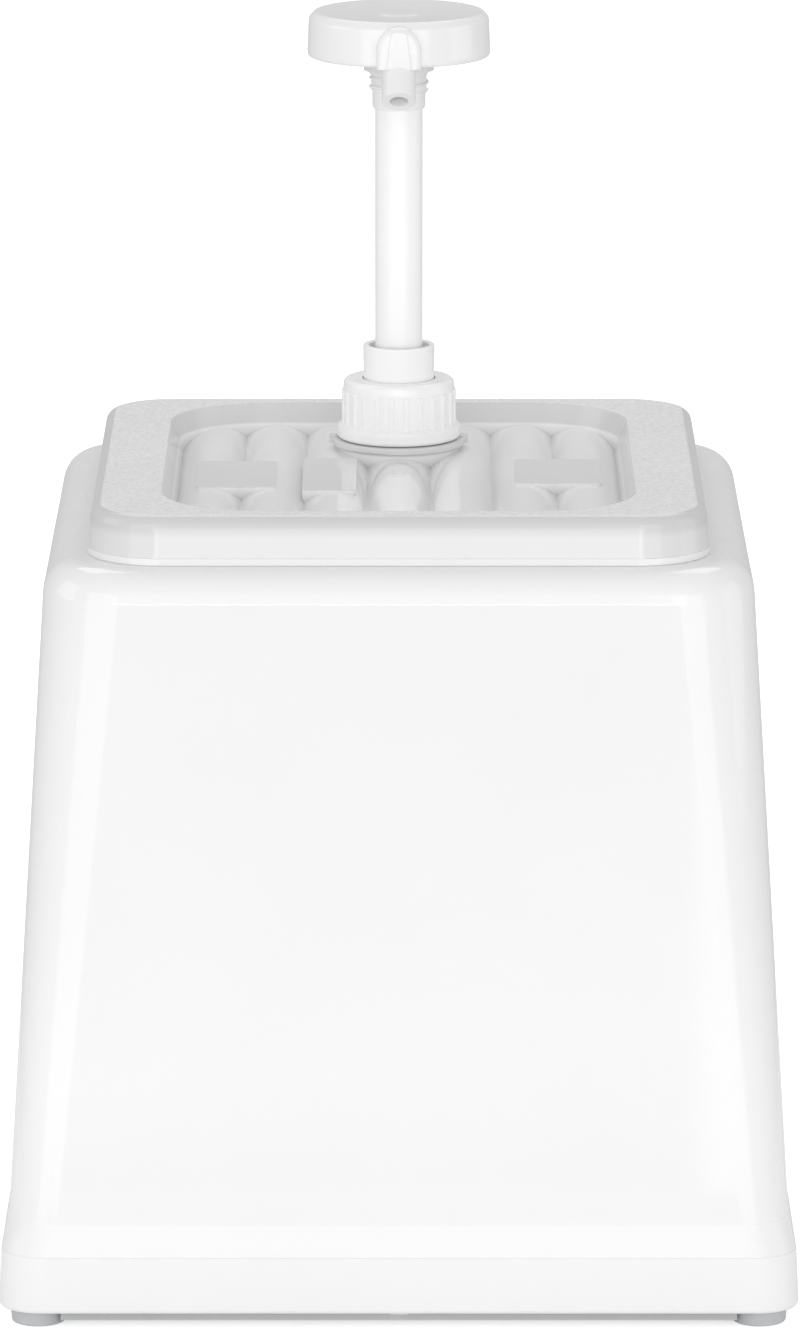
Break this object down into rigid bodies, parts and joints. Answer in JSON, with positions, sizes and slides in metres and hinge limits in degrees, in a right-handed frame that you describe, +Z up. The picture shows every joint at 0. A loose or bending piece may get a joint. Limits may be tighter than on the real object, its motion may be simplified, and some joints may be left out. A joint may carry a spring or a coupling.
{
  "type": "condiment pump dispenser",
  "caption": "Free-standing square tapered food dispenser with a lift-off ridged drip-tray lid over an inner bin, and a tall push-down pump with a short down-turned spout.",
  "frame": {"origin": "on the table, under the middle of the housing", "axes": "+Z up along the pump's axis, -Y to the front where the spout points, +X to the right seen from the front"},
  "size_m": [0.2772, 0.2772, 0.4316],
  "materials": {
    "white_abs": "glossy moulded ABS",
    "white_pp": "satin to glossy moulded polypropylene",
    "hub_pp": "natural moulded polypropylene",
    "frosted_pp": "translucent, textured outside and smooth in the tray",
    "natural_pp": "smooth natural polypropylene",
    "grey_rubber": "matte moulded rubber",
    "dark_plate": "fine matte moulded plastic",
    "seal": "smooth food-grade elastomer",
    "steel": "plated pan-head screws",
    "steel_ball": "ground stainless ball",
    "spring_steel": "drawn stainless wire"
  },
  "bodies": {
    "housing": {"shroud": "white_abs", "base_plate": "dark_plate", "base_plate_screws": "steel", "foot_front_left": "grey_rubber", "foot_front_right": "grey_rubber", "foot_back_left": "grey_rubber", "foot_back_right": "grey_rubber", "foot_screws": "steel"},
    "bin": {"food_bin": "frosted_pp"},
    "lid": {"pump_lid": "frosted_pp"},
    "pump": {"pump_cylinder": "natural_pp", "guide_collar": "white_pp", "neck_gasket": "seal", "intake_ball_cage": "natural_pp", "dip_tube": "natural_pp", "return_spring": "spring_steel"},
    "cap": {"pump_cap": "white_pp"},
    "plunger": {"stem_tube": "white_pp", "piston": "natural_pp", "piston_seal": "seal", "discharge_ball_retainer": "natural_pp"},
    "head": {"pump_knob": "white_pp", "lock_hub": "hub_pp"},
    "outlet_valve": {"discharge_ball": "steel_ball"},
    "inlet_valve": {"intake_ball": "steel_ball"}
  },
  "joints": [
    {"name": "bin_lift", "type": "slide", "parent": "housing", "child": "bin", "axis": [0, 0, 1], "range_m": [0, 0.26]},
    {"name": "lid_lift", "type": "slide", "parent": "bin", "child": "lid", "axis": [0, 0, 1], "range_m": [0, 0.25]},
    {"name": "pump_lift", "type": "slide", "parent": "lid", "child": "pump", "axis": [0, 0, 1], "range_m": [0, 0.28]},
    {"name": "cap_turn", "type": "hinge", "parent": "pump", "child": "cap", "pos_m": [0, 0.054, 0.29], "axis": [0, 0, 1], "range_deg": [0, 720]},
    {"name": "pump_stroke", "type": "slide", "parent": "pump", "child": "plunger", "axis": [0, 0, -1], "range_m": [0, 0.085], "stiffness_N_per_m": 320, "springref_m": -0.028, "deforming": ["return_spring"]},
    {"name": "head_turn", "type": "hinge", "parent": "plunger", "child": "head", "pos_m": [0, 0.054, 0.4], "axis": [0, 0, 1], "continuous": true},
    {"name": "outlet_valve_lift", "type": "slide", "parent": "plunger", "child": "outlet_valve", "axis": [0, 0, 1], "range_m": [0, 0.003]},
    {"name": "inlet_valve_lift", "type": "slide", "parent": "pump", "child": "inlet_valve", "axis": [0, 0, 1], "range_m": [0, 0.004]}
  ]
}
